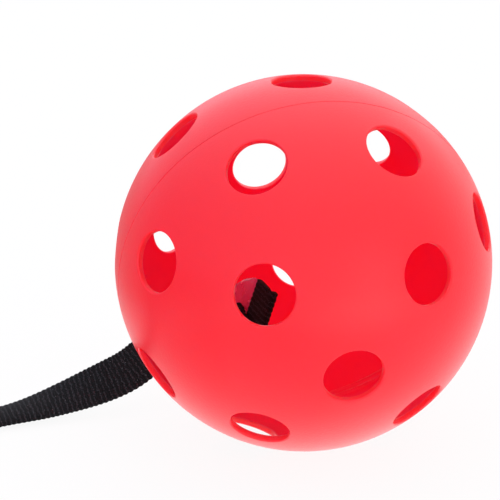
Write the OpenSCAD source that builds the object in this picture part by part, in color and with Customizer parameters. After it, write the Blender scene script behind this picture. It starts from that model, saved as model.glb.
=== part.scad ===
// Perforated practice ball on an elastic strap, resting on a table.
// Two moulded half shells are welded at the equator. The strap is knotted inside the ball, leaves
// through one of the holes, lies down on the table and ends in a sewn hand loop.
// Millimetres, +Z up. The origin is the point where the ball touches the table.

/* [Ball] */
// Outside diameter of the ball
ball_d = 72; // [64:0.5:84]
// Wall of each half shell
wall = 1.3; // [1.2:0.1:2.5]
// Bore of every hole
hole_d = 11.2; // [10:0.1:12]
// Rounding of a hole's outer edge
hole_edge_r = 0.6; // [0.3:0.05:0.9]
// Bevel of a hole's inner edge
hole_bevel = 0.25; // [0.1:0.05:0.5]
// Angle from a pole to its ring of four holes
ring_four_angle = 37.2; // [34:0.1:40]
// Angle from a pole to its ring of eight holes
ring_eight_angle = 71.3; // [68:0.1:74]
// Turn of the rear half's holes against the front half's
rear_turn = 65.1; // [60:0.1:70]

/* [Seam] */
// Bevel on each side of the parting line
seam_bevel = 0.1; // [0.1:0.05:0.4]
// Depth of the front half's lip in the rear half
lip_depth = 0.8; // [0.4:0.1:1.5]
// Thickness of the lip
lip_wall = 0.6; // [0.4:0.05:0.9]
// Clearance round the lip
lip_gap = 0.05; // [0.02:0.01:0.1]
// Radius of each of the two weld beads inside the seam
bead_r = 0.5; // [0.3:0.05:0.8]

/* [Resting turn] */
// Tilt of the front pole from straight up
pole_tilt = 105.4; // [100:0.1:110]
// Heading of the front pole, from +X towards +Y
pole_heading = -75.7; // [-85:0.1:-65]
// Spin of the ball about its own poles
pole_spin = -132.5; // [-140:0.1:-125]

/* [Strap] */
// Width of the elastic strap
strap_w = 8; // [6:0.25:9]
// Thickness of the strap
strap_t = 1.2; // [0.8:0.1:1.5]
// Worn corner of the strap's edges
strap_edge = 0.3; // [0.1:0.05:0.35]
// Clearance between the strap's lower edge and its hole
hole_gap = 0.5; // [0.4:0.05:0.8]
// Length of the cut end beyond the knot
tail_l = 8.6; // [6:0.1:13]

// Thickness of the drop of clear glue beside the cut end
glue_t = 1; // [0.6:0.05:1.1]
// Reach of the glue along the cut end
glue_l = 7; // [5:0.1:7.2]
// Reach of the glue away from the cut end
glue_w = 8.5; // [5:0.1:9]

/* [Hand loop] */
// Length of the sewn double layer
tab_l = 16; // [12:0.5:24]
// Length of the open loop beyond the double layer
loop_l = 82; // [60:1:110]
// Height of the loop as it lies
loop_h = 28; // [20:0.5:40]
// Width of each sewn bar
tack_l = 1.8; // [1.2:0.1:2.4]
// Height of each sewn bar
tack_h = 0.5; // [0.3:0.05:0.8]
// Number of threads across each bar
tack_threads = 9; // [5:1:13]

/* [Hidden] */
$fn = 96;
shell_red = "#f83a44";
strap_black = "#1a1a1c";
thread_black = "#2a2a2d";
glue_clear = "#d9a0a8";

// Ball
ball_r = ball_d / 2;
inner_r = ball_r - wall;
hole_r = hole_d / 2;
ball_centre = [0, 0, ball_r];
ring_eight_step = 360 / 8;
// How far a hole's cutter starts inside the ball and ends outside it
cut_past = 2;
// The rounded edge meets the ball's surface at a slight angle
edge_share = 0.94;
edge_reach = hole_r + hole_edge_r;
edge_z = sqrt(pow(ball_r - edge_share * hole_edge_r, 2) - pow(edge_reach, 2));
bore_foot_z = sqrt(pow(inner_r, 2) - pow(hole_r, 2));
bevel_run = 3 * hole_bevel;
// Thin film between the weld beads and the wall that they lie on, and between the glue and the strap
bead_seat = 0.02;

// Turns of a direction about Z and Y, and from the ball's own axes to the resting ball's
function about_z(v, a) = [v.x * cos(a) - v.y * sin(a), v.x * sin(a) + v.y * cos(a), v.z];
function about_y(v, a) = [v.x * cos(a) + v.z * sin(a), v.y, v.z * cos(a) - v.x * sin(a)];
function about_x(v, a) = [v.x, v.y * cos(a) - v.z * sin(a), v.y * sin(a) + v.z * cos(a)];
function at_rest(v) = about_z(about_y(about_z(v, pole_spin), pole_tilt), pole_heading);
function polar(tilt, heading) = [sin(tilt) * cos(heading), sin(tilt) * sin(heading), cos(tilt)];
function unit(v) = v / norm(v);

// Strap hole: the first of the rear ring of eight
exit_dir = at_rest(polar(180 - ring_eight_angle, rear_turn + ring_eight_step / 2));
exit_mouth = ball_centre + ball_r * exit_dir;
strap_drop = hole_r - strap_w / 2 - hole_gap;
// Lean of the strap's width from level, at the hole
exit_lean = 80;
// Straight stretch of the strap inside and outside the hole
throat_in = 3;
throat_out = 2;

// Knot: a flat overhand knot in a strap folds into a regular pentagon of four layers
knot_side = strap_w / sin(72);
knot_apothem = knot_side / 2 / tan(36);
knot_circum = knot_side / 2 / sin(36);
// Side that each layer lies along, from the lowest layer up
knot_layers = [0, 1, 2, 4];
// Folds: the side, and the two layers that it joins
knot_folds = [[1, 0, 2], [3, 2, 3], [0, 1, 3]];
knot_t = len(knot_layers) * strap_t;
// Strap ahead of the first layer, up to a square face
knot_lead = 1;
// A fold stops just short of the pentagon's corners
fold_inset = 0.1;
// Place of the knot from the inside of the strap hole, and its turns about X, Y and Z
knot_from_hole = [13.7, -16.9, 4.6];
knot_turn = [72.5, -13, -63];
knot_at = ball_centre + inner_r * exit_dir + knot_from_hole;
tail_layer = 1;

function knot_corner(i) = knot_circum * [cos(72 * i - 126), sin(72 * i - 126)];
function layer_z(i) = i * strap_t - knot_t / 2;
function knot_dir(v) = about_z(about_y(about_x(v, knot_turn.x), knot_turn.y), knot_turn.z);
knot_start_x = knot_corner(4).x - knot_lead;
knot_start = [knot_start_x, strap_w / 2 - knot_apothem, layer_z(0) + strap_t / 2];

// Run: offsets along X and Y from the strap hole, height above the table, and lean from level
run_points = [
    [-8, -0.5, 8.5, 64],
    [-20.5, -2, 3.5, 22],
    [-30.5, -5, 1.4, 0],
    [-42.5, -9, 0.7, 0],
    [-54.5, -10.5, 0.65, 0],
    [-66.5, -10.5, 0.65, 0]
];
run_steps = 4;
inner_steps = 12;
// Pull of the inner run's two ends on its curve
inner_pull = 8;

// Width and face directions of a strap that runs along t and leans from level
function level_side(t) = unit([t.y, -t.x, 0]);
function width_dir(t, lean) = cos(lean) * level_side(t) - sin(lean) * cross(t, level_side(t));
exit_width = width_dir(exit_dir, exit_lean);
throat_start = exit_mouth - exit_dir * (wall + throat_in) - exit_width * strap_drop;
throat_end = exit_mouth + exit_dir * throat_out - exit_width * strap_drop;
run_end = exit_mouth + [run_points[len(run_points) - 1].x, run_points[len(run_points) - 1].y, 0];

// Sweep: an eight-sided strap section carried along stations of place, direction and width
strap_section = [
    [strap_w / 2, strap_t / 2 - strap_edge], [strap_w / 2 - strap_edge, strap_t / 2],
    [strap_edge - strap_w / 2, strap_t / 2], [-strap_w / 2, strap_t / 2 - strap_edge],
    [-strap_w / 2, strap_edge - strap_t / 2], [strap_edge - strap_w / 2, -strap_t / 2],
    [strap_w / 2 - strap_edge, -strap_t / 2], [strap_w / 2, strap_edge - strap_t / 2]
];
function square_width(t, w) = unit(w - t * (w * t));
function station(p, t, w) = [
    for (q = strap_section) p + q.x * square_width(t, w) + q.y * cross(t, square_width(t, w))
];
function spline(a, b, c, d, u) =
    (2 * b + (c - a) * u + (2 * a - 5 * b + 4 * c - d) * u * u + (3 * b - a - 3 * c + d) * u * u * u) / 2;
function bezier(a, b, c, d, u) =
    a * pow(1 - u, 3) + 3 * b * u * pow(1 - u, 2) + 3 * c * u * u * (1 - u) + d * pow(u, 3);

module strap_sweep(stations) {
    sides = len(strap_section);
    last = (len(stations) - 1) * sides;
    walls = [
        for (i = [0 : len(stations) - 2], k = [0 : sides - 1], half = [0, 1])
            let (a = i * sides + k, b = i * sides + (k + 1) % sides)
                half == 0 ? [a, a + sides, b + sides] : [a, b + sides, b]
    ];
    start_cap = [for (k = [1 : sides - 2]) [0, k, k + 1]];
    end_cap = [for (k = [1 : sides - 2]) [last, last + k + 1, last + k]];
    polyhedron(points = [for (s = stations) each s], faces = concat(walls, start_cap, end_cap));
}

// Places something modelled about the ball's own poles on the resting ball
module on_ball() {
    translate(ball_centre)
        rotate([0, pole_tilt, pole_heading])
            rotate([0, 0, pole_spin])
                children();
}

// Cutter of one hole: a bore with a rounded outer edge and a bevelled inner one
module hole_cutter() {
    rotate_extrude() {
        translate([0, inner_r - cut_past])
            square([hole_r, edge_z - inner_r + cut_past]);
        difference() {
            translate([0, edge_z])
                square([edge_reach, ball_r + cut_past - edge_z]);
            translate([edge_reach, edge_z])
                circle(r = hole_edge_r);
        }
        polygon([
            [0, bore_foot_z + hole_bevel], [hole_r, bore_foot_z + hole_bevel],
            [hole_r + bevel_run, bore_foot_z + hole_bevel - bevel_run],
            [0, bore_foot_z + hole_bevel - bevel_run]
        ]);
    }
}

// The holes of one half: its pole, a ring of four and a staggered ring of eight
module hole_pattern() {
    hole_cutter();
    for (k = [0 : 3])
        rotate([0, ring_four_angle, k * 90])
            hole_cutter();
    for (k = [0 : 7])
        rotate([0, ring_eight_angle, (k + 0.5) * ring_eight_step])
            hole_cutter();
}

// Profile of a half shell above the seam, with the bevel of the parting line
module half_profile() {
    difference() {
        circle(r = ball_r);
        circle(r = inner_r);
        translate([-ball_d, -ball_d])
            square([ball_d, 2 * ball_d]);
        translate([0, -ball_d])
            square([ball_d, ball_d]);
        polygon([
            [ball_r - seam_bevel, 0], [ball_r + seam_bevel, 0], [ball_r + seam_bevel, 2 * seam_bevel]
        ]);
    }
}

module front_half_shell() {
    color(shell_red)
        on_ball()
            difference() {
                rotate_extrude() {
                    half_profile();
                    translate([inner_r, -lip_depth])
                        square([lip_wall, lip_depth + wall / 2]);
                }
                hole_pattern();
            }
}

module rear_half_shell() {
    color(shell_red)
        on_ball()
            difference() {
                rotate_extrude()
                    mirror([0, 1])
                        half_profile();
                rotate([0, 0, rear_turn])
                    mirror([0, 0, 1])
                        hole_pattern();
                translate([0, 0, -lip_depth - lip_gap])
                    cylinder(r = inner_r + lip_wall + lip_gap, h = lip_depth + 2 * lip_gap);
            }
}

// Profile of the weld: two beads side by side on the inner wall
bead_rise = 0.8 * bead_r;
bead_x = inner_r - bead_r / 3;
bead_meet = asin(bead_rise / bead_r);
function bead_arc(z, from, to) = [
    for (k = [0 : 6]) let (a = from + (to - from) * k / 6) [bead_x + bead_r * cos(a), z + bead_r * sin(a)]
];

module weld_bead() {
    color(shell_red)
        on_ball()
            rotate_extrude()
                polygon(concat(
                    [[inner_r - bead_seat, 0], [inner_r - 2 * bead_seat, -bead_rise - bead_r]],
                    bead_arc(-bead_rise, 270, 180 - bead_meet),
                    bead_arc(bead_rise, 180 + bead_meet + 1, 90),
                    [[inner_r - 2 * bead_seat, bead_rise + bead_r]]
                ));
}

module at_knot() {
    translate(knot_at)
        rotate(knot_turn)
            children();
}

// One pass of the strap across the pentagon, along side i
module knot_pass(i) {
    polygon([for (k = [0, 1, 2, 4]) knot_corner(i + k)]);
}

// The strap folded over side i of the pentagon, from one layer to another
module knot_fold(i, low, high) {
    outer_r = (high - low + 1) * strap_t / 2;
    translate([knot_corner(i).x, knot_corner(i).y, layer_z(low) + outer_r])
        rotate([0, 90, 72 * i])
            translate([0, 0, fold_inset])
                linear_extrude(knot_side - 2 * fold_inset)
                    difference() {
                        circle(r = outer_r);
                        if (high - low > 1)
                            circle(r = outer_r - strap_t);
                        translate([-outer_r, 0])
                            square([2 * outer_r, outer_r]);
                    }
}

module strap_knot() {
    color(strap_black)
        at_knot() {
            translate([0, 0, layer_z(0)])
                linear_extrude(strap_t)
                    polygon([
                        [knot_start_x, -knot_apothem], knot_corner(1), knot_corner(2),
                        [knot_start_x, strap_w - knot_apothem]
                    ]);
            for (i = [1 : len(knot_layers) - 1])
                translate([0, 0, layer_z(i)])
                    linear_extrude(strap_t)
                        knot_pass(knot_layers[i]);
            for (f = knot_folds)
                knot_fold(f[0], f[1], f[2]);
        }
}

module strap_tail() {
    middle = (knot_corner(2) + knot_corner(3)) / 2;
    along = [cos(72), sin(72)];
    across = [sin(72), -cos(72)];
    color(strap_black)
        at_knot()
            translate([0, 0, layer_z(tail_layer)])
                linear_extrude(strap_t)
                    polygon([
                        knot_corner(2), knot_corner(3), middle + along * tail_l - across * strap_w / 2,
                        middle + along * tail_l + across * strap_w / 2
                    ]);
}

// The glue fills the corner between the cut end and the knot. Its free edge is slightly round.
glue_edge = [[0, 1], [0.14, 1], [0.47, 0.79], [0.71, 0.54], [0.92, 0.25], [1, 0.05], [0.9, 0], [0, 0.03]];

module knot_glue() {
    along = [cos(72), sin(72)];
    left = [-sin(72), cos(72)];
    color(glue_clear)
        at_knot()
            translate([0, 0, layer_z(tail_layer) + (strap_t - glue_t) / 2])
                linear_extrude(glue_t)
                    polygon([
                        for (q = glue_edge)
                            knot_corner(3) + left * (bead_seat + q.x * glue_w) + along * q.y * glue_l
                    ]);
}

module strap_inner_run() {
    start = knot_at + knot_dir(knot_start);
    start_dir = knot_dir([-1, 0, 0]);
    start_width = knot_dir([0, 1, 0]);
    a = start;
    b = start + start_dir * inner_pull;
    c = throat_start - exit_dir * inner_pull;
    d = throat_start;
    color(strap_black)
        strap_sweep([
            for (k = [0 : inner_steps])
                let (
                    u = k / inner_steps,
                    p = bezier(a, b, c, d, u),
                    t = k == 0 ? start_dir
                        : k == inner_steps ? exit_dir
                        : unit(bezier(a, b, c, d, u + 0.01) - bezier(a, b, c, d, u - 0.01))
                )
                    station(p, t, start_width * (1 - u) + exit_width * u)
        ]);
}

module strap_run() {
    path = concat(
        [[each throat_start, exit_lean], [each throat_end, exit_lean]],
        [for (q = run_points) [exit_mouth.x + q.x, exit_mouth.y + q.y, q.z, q[3]]]
    );
    n = len(path) - 1;
    ends = concat([2 * path[0] - path[1]], path, [2 * path[n] - path[n - 1]]);
    line = [
        for (i = [0 : n - 1], k = [0 : run_steps - 1])
            spline(ends[i], ends[i + 1], ends[i + 2], ends[i + 3], k / run_steps),
        path[n]
    ];
    m = len(line) - 1;
    color(strap_black)
        strap_sweep([
            for (i = [0 : m])
                let (
                    q = line[i],
                    step = line[min(i + 1, m)] - line[max(i - 1, 0)],
                    t = i == m ? [-1, 0, 0] : i <= run_steps / 2 ? exit_dir : unit([step.x, step.y, step.z])
                )
                    station([q.x, q.y, q.z], t, width_dir(t, q[3]))
        ]);
}

// Side view of the hand loop: x runs away from the ball and y is height
loop_r = loop_h / 2;
loop_centre = [tab_l + loop_l - loop_r, loop_r];
function far_tangent(p, c, r) =
    let (d = norm(c - p), turn = atan2(c.y - p.y, c.x - p.x) + asin(r / d), reach = sqrt(d * d - r * r))
        p + reach * [cos(turn), sin(turn)];

// A round end of radius r drawn in to a point, with its lower side level
module drop_shape(p, r) {
    tip = far_tangent(p, loop_centre, r);
    translate(loop_centre)
        circle(r = r);
    polygon([p, [p.x, loop_r - r], [loop_centre.x, loop_r - r], loop_centre, tip]);
}

module at_loop() {
    translate([run_end.x, run_end.y, 0])
        rotate([90, 0, 180])
            translate([0, 0, -strap_w / 2])
                children();
}

module hand_loop() {
    tab_top = 2 * strap_t;
    color(strap_black)
        at_loop()
            linear_extrude(strap_w) {
                difference() {
                    drop_shape([tab_l, tab_top], loop_r);
                    drop_shape([tab_l + strap_t, strap_t + strap_edge / 4], loop_r - strap_t);
                }
                square([tab_l, strap_t]);
                translate([strap_edge, strap_t])
                    square([tab_l - strap_edge, strap_t]);
            }
}

// A sewn bar across the double layer, at a distance along it
module loop_tack(at) {
    bar_w = strap_w - 2 * strap_edge;
    thread_step = bar_w / tack_threads;
    color(thread_black)
        at_loop()
            translate([at, 2 * strap_t, strap_w - strap_edge])
                rotate([0, 90, 0])
                    linear_extrude(tack_l) {
                        square([bar_w, tack_h / 2]);
                        intersection() {
                            square([bar_w, tack_h]);
                            for (k = [0 : tack_threads - 1])
                                translate([(k + 0.5) * thread_step, tack_h / 2])
                                    circle(d = min(thread_step, tack_h) * 0.98);
                        }
                    }
}

module loop_tack_front() {
    loop_tack(tack_l);
}

module loop_tack_rear() {
    loop_tack(tab_l - 2 * tack_l);
}

front_half_shell();
rear_half_shell();
weld_bead();
strap_tail();
knot_glue();
strap_knot();
strap_inner_run();
strap_run();
hand_loop();
loop_tack_front();
loop_tack_rear();
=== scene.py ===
# %% [markdown]
# # A perforated ball on an elastic strap
#
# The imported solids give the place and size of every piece. This script dresses them: it makes the
# moulded shells with the weld inside them, the woven strap with its knot, and the sewn hand loop again
# with the detail that a close look shows. Lengths are written in millimetres, as a maker would say
# them, and each mesh is turned to metres when it is made.

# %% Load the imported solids
import math

import bpy
import numpy as np
from mathutils import Matrix, Vector


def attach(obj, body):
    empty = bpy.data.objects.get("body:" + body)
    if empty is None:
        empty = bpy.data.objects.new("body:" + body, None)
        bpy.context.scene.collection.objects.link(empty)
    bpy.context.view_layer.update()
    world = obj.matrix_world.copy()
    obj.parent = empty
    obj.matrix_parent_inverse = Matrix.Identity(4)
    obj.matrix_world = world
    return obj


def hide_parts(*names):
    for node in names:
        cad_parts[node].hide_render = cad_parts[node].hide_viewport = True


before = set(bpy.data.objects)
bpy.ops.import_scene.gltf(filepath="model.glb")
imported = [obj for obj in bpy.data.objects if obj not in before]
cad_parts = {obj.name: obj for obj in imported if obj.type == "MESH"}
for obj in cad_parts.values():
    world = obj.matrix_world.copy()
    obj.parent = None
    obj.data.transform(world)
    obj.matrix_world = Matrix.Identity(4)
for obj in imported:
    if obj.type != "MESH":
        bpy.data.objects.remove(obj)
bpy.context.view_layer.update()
scene = bpy.context.scene

# %% [markdown]
# ## The camera
#
# The photograph looks down on the ball by 20 degrees, from about 43 centimetres away, through a long
# lens. The ball stands right of the middle of the picture. The camera comes first, because the strap
# leaves its view on the left and everything past that edge has to stay close by.

# %% Camera
MM = 0.001
view = bpy.data.objects.new("view_camera", bpy.data.cameras.new("view_camera"))
scene.collection.objects.link(view)
view.location = (-10.17 * MM, -405.3 * MM, 186.1 * MM)
view.rotation_euler = (math.radians(70), 0, 0)
view.data.sensor_width = 36
view.data.lens = 162.6
view.data.clip_start = 0.01
scene.camera = view
print("view angle:", round(math.degrees(view.data.angle), 2))

# %% [markdown]
# ## Small helpers
#
# One function turns a hex colour to the linear numbers that a shader wants. One adds a node with its
# settings and links. One starts a material, and one a Geometry Nodes tree with named inputs. One makes an
# object from points in millimetres, and one reads a list of values back from a mesh. The other two scale
# directions to length one and add up turns.

# %% Helpers
def linear(hex_colour):
    parts = [int(hex_colour[i:i + 2], 16) / 255 for i in (1, 3, 5)]
    return tuple(c / 12.92 if c <= 0.04045 else ((c + 0.055) / 1.055) ** 2.4 for c in parts) + (1.0,)


def add(tree, kind, settings=None, links=None):
    made = tree.nodes.new(kind)
    for key, value in (settings or {}).items():
        setattr(made, key, value)
    for key, value in (links or {}).items():
        if isinstance(value, bpy.types.NodeSocket):
            tree.links.new(value, made.inputs[key])
        else:
            made.inputs[key].default_value = value
    return made


def new_piece(name, points_mm, faces, finish=None):
    mesh = bpy.data.meshes.new(name)
    mesh.from_pydata((np.asarray(points_mm, float) * MM).tolist(), [], faces)
    mesh.shade_smooth()
    if finish:
        mesh.materials.append(finish)
    piece = bpy.data.objects.new(name, mesh)
    scene.collection.objects.link(piece)
    return piece


def unit(v):
    v = np.asarray(v, float)
    return v / np.linalg.norm(v, axis=-1, keepdims=True)


def rotation(*steps):
    """One rotation from turns in degrees about named axes. The last one written is made first."""
    whole = Matrix.Identity(3)
    for degrees, axis in steps:
        whole = whole @ Matrix.Rotation(math.radians(degrees), 3, axis)
    return np.array(whole)


def values_of(items, key, wide=1, kind=float):
    values = np.zeros(len(items) * wide, kind)
    items.foreach_get(key, values)
    return values.reshape(-1, wide) if wide > 1 else values


def new_finish(name):
    finish = bpy.data.materials.new(name)
    finish.use_nodes = True
    finish.node_tree.nodes.clear()
    return finish, finish.node_tree


def new_group(name, inputs):
    group = bpy.data.node_groups.new(name, "GeometryNodeTree")
    group.interface.new_socket("Geometry", in_out="INPUT", socket_type="NodeSocketGeometry")
    sockets = [group.interface.new_socket(label, in_out="INPUT", socket_type="NodeSocket" + kind)
               for label, kind in inputs]
    group.interface.new_socket("Geometry", in_out="OUTPUT", socket_type="NodeSocketGeometry")
    return group, sockets


# %% [markdown]
# ## Moulded polyethylene
#
# The shells are injection moulded from red polyethylene. It is a waxy plastic: strongly coloured, and
# cloudy, so that red light passes through a thin wall and fills the inside. The outside is satin,
# because that half of the mould was lightly grained, about half a millimetre to the grain. The inside
# was shaped by a rougher core, so it is matt and mirrors little. Its red is painted darker and bluer than
# the outside's, a painted shade for the dimmer light inside. The holes were shaped by polished pins, so
# their walls are smooth. The hole walls are painted a little paler, a painted reflection of the bright
# surround, and the inner bevel round each hole is painted paler still, a fine painted highlight. Three
# attributes say which faces are which. The pale rim is the shader's own reflection of the surround at a
# low angle.

# %% Finish: red polyethylene
CLOUD, GRAIN, GRAIN_RISE, LIGHT_REACH = 14, 0.5, 0.1, 6
SATIN, CORE_ROUGH, PIN_ROUGH = (0.28, 0.4), 0.6, 0.3
SKIN_MIRROR, CORE_MIRROR = 0.5, 0.15
polyethylene, tree = new_finish("moulded_red_polyethylene")
place = add(tree, "ShaderNodeTexCoord")
cloud = add(tree, "ShaderNodeTexNoise", links={
    "Vector": place.outputs["Object"], "Scale": 1 / (CLOUD * MM)})
grain = add(tree, "ShaderNodeTexNoise", links={
    "Vector": place.outputs["Object"], "Scale": 1 / (GRAIN * MM), "Detail": 3.0})
reds = add(tree, "ShaderNodeMix", {"data_type": "RGBA"}, {
    "Factor": cloud.outputs["Fac"], "A": linear("#fd1028"), "B": linear("#f90e25")})
satin = add(tree, "ShaderNodeMapRange", links={
    "Value": grain.outputs["Fac"], "To Min": SATIN[0], "To Max": SATIN[1]})
core_side = add(tree, "ShaderNodeAttribute", {"attribute_name": "core_side"})
gloss = add(tree, "ShaderNodeMix", {"data_type": "FLOAT"}, {
    "Factor": core_side.outputs["Fac"], "A": satin.outputs["Result"], "B": CORE_ROUGH})
pin_side = add(tree, "ShaderNodeAttribute", {"attribute_name": "pin_side"})
core_only = add(tree, "ShaderNodeMath", {"operation": "SUBTRACT", "use_clamp": True}, {
    0: core_side.outputs["Fac"], 1: pin_side.outputs["Fac"]})
mirror = add(tree, "ShaderNodeMix", {"data_type": "FLOAT"}, {
    "Factor": core_only.outputs[0], "A": SKIN_MIRROR, "B": CORE_MIRROR})
polish = add(tree, "ShaderNodeMix", {"data_type": "FLOAT"}, {
    "Factor": pin_side.outputs["Fac"], "A": gloss.outputs["Result"], "B": PIN_ROUGH})
# Painted shade: faces shaped by the core get a darker, bluer red that stands for the dimmer light inside the
# ball.
red_with_painted_inner_shade = add(tree, "ShaderNodeMix", {"data_type": "RGBA"}, {
    "Factor": core_side.outputs["Fac"], "A": reds.outputs["Result"], "B": linear("#f22456")})
skin = add(tree, "ShaderNodeBump", links={
    "Height": grain.outputs["Fac"], "Strength": 0.3, "Distance": GRAIN_RISE * MM})
# Painted reflection and highlight: hole walls and inner bevels are mixed towards pale pink.
paleness = add(tree, "ShaderNodeAttribute", {"attribute_name": "paleness"})
red_with_painted_pale_edges = add(tree, "ShaderNodeMix", {"data_type": "RGBA"}, {
    "Factor": paleness.outputs["Fac"], "A": red_with_painted_inner_shade.outputs["Result"], "B": linear("#ffb0bc")})
plastic = add(tree, "ShaderNodeBsdfPrincipled", links={
    "Base Color": red_with_painted_pale_edges.outputs["Result"], "Roughness": polish.outputs["Result"],
    "Normal": skin.outputs["Normal"], "IOR": 1.48, "Specular IOR Level": mirror.outputs["Result"],
    "Subsurface Weight": 1.0, "Subsurface Radius": (1.0, 0.05, 0.08), "Subsurface Scale": LIGHT_REACH * MM})
add(tree, "ShaderNodeOutputMaterial", links={"Surface": plastic.outputs["BSDF"]})
print(polyethylene.name, "nodes:", len(tree.nodes))

# %% [markdown]
# ## Woven elastic
#
# The strap is knitted and woven from black polyester over rubber threads. Cross ribs stand up a little
# every millimetre, with finer ones between them, and threads run along it every 0.4 mm. The ribs wander,
# because the rubber pulls unevenly. Dyed yarn is dull and very dark. The rib crests are painted lighter and
# the hollows darker, a painted shade, and a few pale specks are painted glints of the rubber threads.
# The pattern follows the strap, so it reads the strap's own map, in which one unit is a millimetre along or
# across.

# %% Ribs and threads of the elastic
RIB_PITCH, HALF_RIB, THREAD_PITCH, THREAD_SHARE = 1.0, 0.6, 0.4, 0.3
SLACK_PITCH, SLACK_TURNS, FUZZ_PITCH = 1.1, 5.5, 0.25
elastic, tree = new_finish("black_woven_elastic")
strap_map = add(tree, "ShaderNodeUVMap", {"uv_map": "strap_mm"})
along_across = add(tree, "ShaderNodeSeparateXYZ", links={"Vector": strap_map.outputs["UV"]})
thread_turns = add(tree, "ShaderNodeMath", {"operation": "MULTIPLY"}, {
    0: along_across.outputs["Y"], 1: 2 * math.pi / THREAD_PITCH})
threads = add(tree, "ShaderNodeMath", {"operation": "SINE"}, {0: thread_turns.outputs[0]})
rib_turns = add(tree, "ShaderNodeMath", {"operation": "MULTIPLY"}, {
    0: along_across.outputs["X"], 1: 2 * math.pi / RIB_PITCH})
slack = add(tree, "ShaderNodeTexNoise", {"noise_dimensions": "2D"}, {
    "Vector": strap_map.outputs["UV"], "Scale": 1 / SLACK_PITCH, "Detail": 2.0})
uneven_turns = add(tree, "ShaderNodeMath", {"operation": "MULTIPLY_ADD"}, {
    0: slack.outputs["Fac"], 1: SLACK_TURNS, 2: rib_turns.outputs[0]})
full_ribs = add(tree, "ShaderNodeMath", {"operation": "COSINE"}, {0: uneven_turns.outputs[0]})
double_turns = add(tree, "ShaderNodeMath", {"operation": "MULTIPLY"}, {
    0: uneven_turns.outputs[0], 1: 2.0})
half_ribs = add(tree, "ShaderNodeMath", {"operation": "COSINE"}, {0: double_turns.outputs[0]})
ribs = add(tree, "ShaderNodeMath", {"operation": "MULTIPLY_ADD"}, {
    0: half_ribs.outputs[0], 1: HALF_RIB, 2: full_ribs.outputs[0]})
fuzz = add(tree, "ShaderNodeTexNoise", {"noise_dimensions": "2D"}, {
    "Vector": strap_map.outputs["UV"], "Scale": 1 / FUZZ_PITCH, "Detail": 4.0})
relief = add(tree, "ShaderNodeMath", {"operation": "MULTIPLY_ADD"}, {
    0: threads.outputs[0], 1: THREAD_SHARE, 2: fuzz.outputs["Fac"]})
print("ribs every", RIB_PITCH, "mm, threads every", THREAD_PITCH, "mm")

# %% Finish: black woven elastic
GLINT_PITCH, GLINT_SIZE, GLINT_RARE, THREAD_RISE = 1.6, 0.035, 0.7, 0.08
# Painted shade: rib crests are coloured lighter and hollows darker, broken up by the fuzz's random tone.
rib_light = add(tree, "ShaderNodeMapRange", links={
    "Value": ribs.outputs[0], "From Min": -1.0, "From Max": 1.0})
speckle = add(tree, "ShaderNodeMapRange", links={
    "Value": fuzz.outputs["Fac"], "From Min": 0.35, "From Max": 0.7})
rib_shade = add(tree, "ShaderNodeMath", {"operation": "MULTIPLY"}, {
    0: rib_light.outputs["Result"], 1: speckle.outputs["Result"]})
yarn_with_painted_rib_shade = add(tree, "ShaderNodeMix", {"data_type": "RGBA"}, {
    "Factor": rib_shade.outputs[0], "A": linear("#030304"), "B": linear("#38383c")})
# Painted glints: a few pale specks where the rubber threads catch the light.
glint_cells = add(tree, "ShaderNodeTexVoronoi", {"voronoi_dimensions": "2D"}, {
    "Vector": strap_map.outputs["UV"], "Scale": 1 / GLINT_PITCH})
glint_dots = add(tree, "ShaderNodeMath", {"operation": "LESS_THAN"}, {
    0: glint_cells.outputs["Distance"], 1: GLINT_SIZE})
glint_pick = add(tree, "ShaderNodeSeparateColor", links={"Color": glint_cells.outputs["Color"]})
glint_some = add(tree, "ShaderNodeMath", {"operation": "GREATER_THAN"}, {
    0: glint_pick.outputs["Red"], 1: GLINT_RARE})
painted_glints = add(tree, "ShaderNodeMath", {"operation": "MULTIPLY"}, {
    0: glint_dots.outputs[0], 1: glint_some.outputs[0]})
surface_colour = add(tree, "ShaderNodeMix", {"data_type": "RGBA"}, {
    "Factor": painted_glints.outputs[0], "A": yarn_with_painted_rib_shade.outputs["Result"], "B": linear("#77777a")})
weave = add(tree, "ShaderNodeBump", links={
    "Height": relief.outputs[0], "Strength": 0.5, "Distance": THREAD_RISE * MM})
cloth = add(tree, "ShaderNodeBsdfPrincipled", links={
    "Base Color": surface_colour.outputs["Result"], "Normal": weave.outputs["Normal"], "Roughness": 0.8,
    "IOR": 1.5, "Specular IOR Level": 0.15})
add(tree, "ShaderNodeOutputMaterial", links={"Surface": cloth.outputs["BSDF"]})
print(elastic.name, "nodes:", len(tree.nodes))

# %% [markdown]
# ## Clear glue
#
# A drop of clear glue locks the knot beside the strap's cut end. It is a soft hot-melt glue: almost
# clear, faintly clouded, with a glossy, slightly lumpy skin that catches small glints. Its pink colour is
# painted: it stands for the red light from the ball's inside, seen through the clear glue.

# %% Finish: clear glue
LUMP, LUMP_RISE, GLUE_LIGHT_REACH = 1.6, 0.4, 2
glue_finish, tree = new_finish("clear_hot_melt_glue")
place = add(tree, "ShaderNodeTexCoord")
lumps = add(tree, "ShaderNodeTexNoise", links={
    "Vector": place.outputs["Object"], "Scale": 1 / (LUMP * MM)})
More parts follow.
